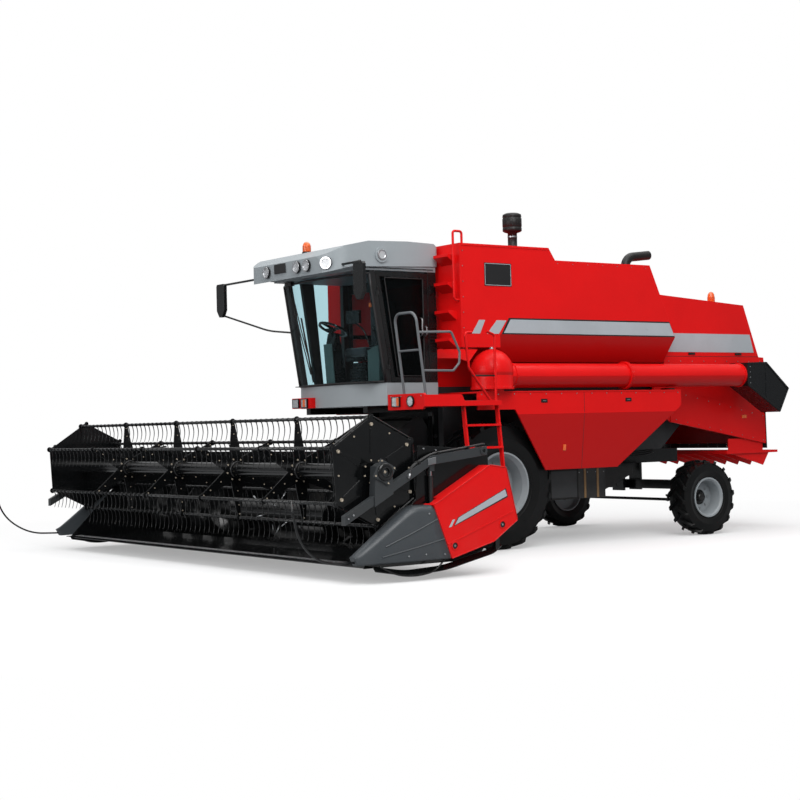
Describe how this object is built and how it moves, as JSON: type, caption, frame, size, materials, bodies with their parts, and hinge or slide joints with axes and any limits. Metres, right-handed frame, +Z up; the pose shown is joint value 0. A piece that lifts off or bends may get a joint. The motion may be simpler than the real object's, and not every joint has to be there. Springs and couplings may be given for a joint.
{
  "type": "combine harvester",
  "caption": "Self-propelled combine harvester with a lifting grain header, tined reel, knife, cross auger, cab, open grain tank and swinging unloading auger.",
  "frame": {"origin": "on the ground under the middle of the whole machine", "axes": "+Y to the rear along the machine, +X to its left, +Z up"},
  "size_m": [7.5018, 9.7697, 4.18],
  "materials": {
    "red_paint": "gloss enamel",
    "body_paint": "satin enamel",
    "black_paint": "satin enamel",
    "grey_paint": "satin enamel",
    "cab_trim": "satin enamel",
    "roof_paint": "satin enamel",
    "window_glass": "tinted clear",
    "seat_cloth": "woven cloth",
    "rim_paint": "satin enamel",
    "tyre_rubber": "matt rubber",
    "spout_rubber": "matt rubber",
    "nose_plastic": "moulded satin",
    "engine_paint": "painted casting",
    "pipe_metal": "heat stained black",
    "amber_lens": "clear gloss",
    "lamp_lens": "clear gloss",
    "knife_steel": "worn steel",
    "cylinder_paint": "satin enamel",
    "rod_chrome": "bright"
  },
  "bodies": {
    "chassis": {"chassis_frame": "black_paint", "front_axle": "black_paint", "rear_axle": "black_paint", "threshing_body": "body_paint", "cleaning_shoe": "body_paint", "side_shields": "red_paint", "grain_tank": "red_paint", "exhaust_pipe": "pipe_metal", "engine_block": "engine_paint", "engine_hood": "red_paint", "straw_hood": "red_paint", "straw_spreader": "red_paint", "cab_frame": "cab_trim", "cab_roof": "roof_paint", "cab_glass": "window_glass", "operator_seat": "seat_cloth", "cab_controls": "cab_trim", "platform": "red_paint", "handrails": "grey_paint", "mirrors": "cab_trim", "air_intake": "pipe_metal", "beacons": "amber_lens", "lamps": "lamp_lens", "auger_pot": "red_paint"},
    "front_wheel_left": {"front_tyre_left": "tyre_rubber", "front_rim_left": "rim_paint"},
    "front_wheel_right": {"front_tyre_right": "tyre_rubber", "front_rim_right": "rim_paint"},
    "steering_knuckle_left": {"knuckle_left": "black_paint"},
    "steering_knuckle_right": {"knuckle_right": "black_paint"},
    "rear_wheel_left": {"rear_tyre_left": "tyre_rubber", "rear_rim_left": "rim_paint"},
    "rear_wheel_right": {"rear_tyre_right": "tyre_rubber", "rear_rim_right": "rim_paint"},
    "tie_rod_link": {"tie_rod": "black_paint"},
    "door": {"cab_door": "cab_trim", "door_glass": "window_glass"},
    "unloading_auger": {"unload_auger": "red_paint", "auger_spout": "spout_rubber"},
    "header": {"feeder_house": "body_paint", "header_frame": "black_paint", "header_ends": "black_paint", "end_covers": "red_paint", "dividers": "nose_plastic"},
    "knife_bar": {"knife": "knife_steel"},
    "cross_auger": {"header_auger": "black_paint"},
    "arms": {"reel_arms": "grey_paint"},
    "carriers": {"reel_carriers": "black_paint"},
    "reel": {"reel_frame": "black_paint"},
    "tine_ring": {"reel_cam": "black_paint"},
    "feeder_barrels": {"lift_barrels": "cylinder_paint"},
    "feeder_rods": {"lift_rods": "rod_chrome"},
    "arm_barrels": {"reel_lift_barrels": "cylinder_paint"},
    "arm_rods": {"reel_lift_rods": "rod_chrome"},
    "bat_1": {"reel_bat_1": "black_paint"},
    "bat_2": {"reel_bat_2": "black_paint"},
    "bat_3": {"reel_bat_3": "black_paint"},
    "bat_4": {"reel_bat_4": "black_paint"},
    "bat_5": {"reel_bat_5": "black_paint"},
    "bat_6": {"reel_bat_6": "black_paint"}
  },
  "joints": [
    {"name": "front_wheel_left_spin", "type": "hinge", "parent": "chassis", "child": "front_wheel_left", "pos_m": [1.18, -0.445, 0.785], "axis": [1, 0, 0], "continuous": true},
    {"name": "front_wheel_right_spin", "type": "hinge", "parent": "chassis", "child": "front_wheel_right", "pos_m": [-1.18, -0.445, 0.785], "axis": [1, 0, 0], "continuous": true},
    {"name": "steer_left", "type": "hinge", "parent": "chassis", "child": "steering_knuckle_left", "pos_m": [1.09, 2.901, 0.64], "axis": [0, 0, 1], "range_deg": [-45, 45]},
    {"name": "steer_right", "type": "hinge", "parent": "chassis", "child": "steering_knuckle_right", "pos_m": [-1.09, 2.901, 0.64], "axis": [0, 0, 1], "range_deg": [-45, 45]},
    {"name": "rear_wheel_left_spin", "type": "hinge", "parent": "steering_knuckle_left", "child": "rear_wheel_left", "pos_m": [1.41, 2.901, 0.494], "axis": [1, 0, 0], "continuous": true},
    {"name": "rear_wheel_right_spin", "type": "hinge", "parent": "steering_knuckle_right", "child": "rear_wheel_right", "pos_m": [-1.41, 2.901, 0.494], "axis": [1, 0, 0], "continuous": true},
    {"name": "tie_rod_pin", "type": "hinge", "parent": "steering_knuckle_left", "child": "tie_rod_link", "pos_m": [1.09, 2.601, 0.47], "axis": [0, 0, 1], "range_deg": [-45, 45]},
    {"name": "door_hinge", "type": "hinge", "parent": "chassis", "child": "door", "pos_m": [1.039, -1.802, 2.05], "axis": [0, 0.1571, -0.9876], "range_deg": [0, 75]},
    {"name": "auger_swing", "type": "hinge", "parent": "chassis", "child": "unloading_auger", "pos_m": [1.45, -0.625, 2.11], "axis": [0, 0, -1], "range_deg": [0, 90]},
    {"name": "header_lift", "type": "hinge", "parent": "chassis", "child": "header", "pos_m": [0, -0.925, 1.4], "axis": [-1, 0, 0], "range_deg": [0, 20]},
    {"name": "knife_stroke", "type": "slide", "parent": "header", "child": "knife_bar", "axis": [1, 0, 0], "range_m": [-0.0381, 0.0381]},
    {"name": "cross_auger_spin", "type": "hinge", "parent": "header", "child": "cross_auger", "pos_m": [0, -2.705, 0.54], "axis": [1, 0, 0], "continuous": true},
    {"name": "reel_lift", "type": "hinge", "parent": "header", "child": "arms", "pos_m": [0, -2.475, 1.262], "axis": [-1, 0, 0], "range_deg": [0, 30]},
    {"name": "reel_reach", "type": "slide", "parent": "arms", "child": "carriers", "axis": [0, -0.8842, -0.4671], "range_m": [0, 0.22]},
    {"name": "reel_spin", "type": "hinge", "parent": "carriers", "child": "reel", "pos_m": [0, -3.729, 1.089], "axis": [1, 0, 0], "continuous": true},
    {"name": "bat_1_turn", "type": "hinge", "parent": "reel", "child": "bat_1", "pos_m": [0, -3.7592, 1.62916], "axis": [1, 0, 0], "continuous": true},
    {"name": "bat_2_turn", "type": "hinge", "parent": "reel", "child": "bat_2", "pos_m": [0, -4.21189, 1.33292], "axis": [1, 0, 0], "continuous": true},
    {"name": "bat_3_turn", "type": "hinge", "parent": "reel", "child": "bat_3", "pos_m": [0, -4.18169, 0.79277], "axis": [1, 0, 0], "continuous": true},
    {"name": "bat_4_turn", "type": "hinge", "parent": "reel", "child": "bat_4", "pos_m": [0, -3.6988, 0.54884], "axis": [1, 0, 0], "continuous": true},
    {"name": "bat_5_turn", "type": "hinge", "parent": "reel", "child": "bat_5", "pos_m": [0, -3.24611, 0.84508], "axis": [1, 0, 0], "continuous": true},
    {"name": "bat_6_turn", "type": "hinge", "parent": "reel", "child": "bat_6", "pos_m": [0, -3.27631, 1.38523], "axis": [1, 0, 0], "continuous": true},
    {"name": "tine_ring_spin", "type": "hinge", "parent": "carriers", "child": "tine_ring", "pos_m": [-3.476, -3.634, 1.127], "axis": [1, 0, 0], "continuous": true},
    {"name": "feeder_barrel_pivot", "type": "hinge", "parent": "chassis", "child": "feeder_barrels", "pos_m": [0, -0.685, 0.61], "axis": [-1, 0, 0], "range_deg": [-2, 30]},
    {"name": "feeder_rod_slide", "type": "slide", "parent": "feeder_barrels", "child": "feeder_rods", "axis": [0, -0.9932, -0.1166], "range_m": [0, 0.3]},
    {"name": "arm_barrel_pivot", "type": "hinge", "parent": "header", "child": "arm_barrels", "pos_m": [0, -3.11, 0.545], "axis": [-1, 0, 0], "range_deg": [-5, 10]},
    {"name": "arm_rod_slide", "type": "slide", "parent": "arm_barrels", "child": "arm_rods", "axis": [0, 0, 1], "range_m": [0, 0.36]}
  ],
  "couplings": [
    {"joint": "steer_right", "follows": "steer_left", "ratio": 1},
    {"joint": "tie_rod_pin", "follows": "steer_left", "ratio": -1},
    {"joint": "tine_ring_spin", "follows": "reel_spin", "ratio": 1},
    {"joint": "feeder_barrel_pivot", "follows": "header_lift", "ratio": 0.83273},
    {"joint": "feeder_rod_slide", "follows": "header_lift", "m_per_rad": 0.78361},
    {"joint": "arm_barrel_pivot", "follows": "reel_lift", "ratio": -0.0213},
    {"joint": "arm_rod_slide", "follows": "reel_lift", "m_per_rad": 0.64785},
    {"joint": "bat_1_turn", "follows": "reel_spin", "ratio": -1},
    {"joint": "bat_2_turn", "follows": "reel_spin", "ratio": -1},
    {"joint": "bat_3_turn", "follows": "reel_spin", "ratio": -1},
    {"joint": "bat_4_turn", "follows": "reel_spin", "ratio": -1},
    {"joint": "bat_5_turn", "follows": "reel_spin", "ratio": -1},
    {"joint": "bat_6_turn", "follows": "reel_spin", "ratio": -1}
  ]
}
